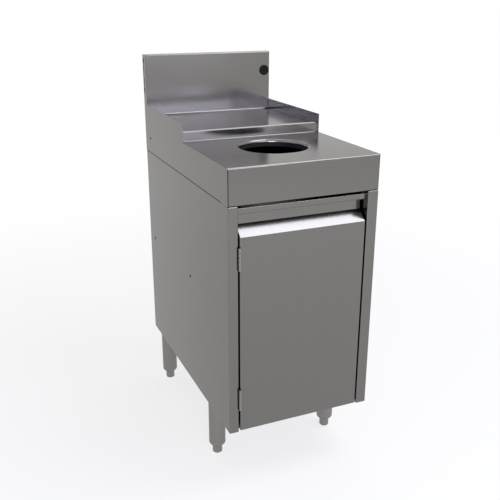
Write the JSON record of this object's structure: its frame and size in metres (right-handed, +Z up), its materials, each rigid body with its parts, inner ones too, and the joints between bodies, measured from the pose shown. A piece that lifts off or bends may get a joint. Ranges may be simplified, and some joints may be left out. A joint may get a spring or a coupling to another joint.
{
  "type": "underbar waste unit",
  "caption": "Narrow stainless underbar cabinet on adjustable legs, with a round waste hole in its worktop, a ledge, a tall backsplash and a side-hung door in front of an inner bin.",
  "frame": {"origin": "on the floor, under the middle of the unit's bounding box", "axes": "+Z up, +X to the right seen from the front, +Y from the door to the backsplash"},
  "size_m": [0.3556, 0.618, 0.9391],
  "materials": {
    "satin_steel": "satin stainless sheet with a fine grain",
    "leg_steel": "satin stainless tube",
    "hinge_steel": "plain stainless",
    "black_rubber": "matt black",
    "black_plastic": "smooth black",
    "bin_plastic": "moulded black"
  },
  "bodies": {
    "cabinet": {"deck_sheet": "satin_steel", "end_skirt_left": "satin_steel", "end_skirt_right": "satin_steel", "backsplash_back": "satin_steel", "side_panel_left": "satin_steel", "side_panel_right": "satin_steel", "shelf_pan": "satin_steel", "back_panel": "satin_steel", "top_rail": "satin_steel", "catch_body": "black_plastic", "hinge_upper_frame_leaf": "hinge_steel", "hinge_upper_pin": "hinge_steel", "hinge_lower_frame_leaf": "hinge_steel", "hinge_lower_pin": "hinge_steel", "chute_collar": "black_rubber", "hole_plug": "black_plastic", "waste_bin": "bin_plastic", "leg_socket_front_left": "leg_steel", "leg_socket_front_right": "leg_steel", "leg_socket_rear_left": "leg_steel", "leg_socket_rear_right": "leg_steel", "leg_tube_front_left": "leg_steel", "leg_tube_front_right": "leg_steel", "leg_tube_rear_left": "leg_steel", "leg_tube_rear_right": "leg_steel"},
    "door": {"door_skin": "satin_steel", "door_liner": "satin_steel", "catch_strike": "hinge_steel", "hinge_upper_door_leaf": "hinge_steel", "hinge_lower_door_leaf": "hinge_steel"},
    "foot_front_left": {"foot_front_left": "leg_steel"},
    "foot_front_right": {"foot_front_right": "leg_steel"},
    "foot_rear_left": {"foot_rear_left": "leg_steel"},
    "foot_rear_right": {"foot_rear_right": "leg_steel"}
  },
  "joints": [
    {"name": "door_hinge", "type": "hinge", "parent": "cabinet", "child": "door", "pos_m": [-0.1536, -0.30555, 0.4084], "axis": [0, 0, -1], "range_deg": [0, 180]},
    {"name": "level_front_left", "type": "slide", "parent": "cabinet", "child": "foot_front_left", "axis": [0, 0, -1], "range_m": [0, 0.025]},
    {"name": "level_front_right", "type": "slide", "parent": "cabinet", "child": "foot_front_right", "axis": [0, 0, -1], "range_m": [0, 0.025]},
    {"name": "level_rear_left", "type": "slide", "parent": "cabinet", "child": "foot_rear_left", "axis": [0, 0, -1], "range_m": [0, 0.025]},
    {"name": "level_rear_right", "type": "slide", "parent": "cabinet", "child": "foot_rear_right", "axis": [0, 0, -1], "range_m": [0, 0.025]}
  ]
}
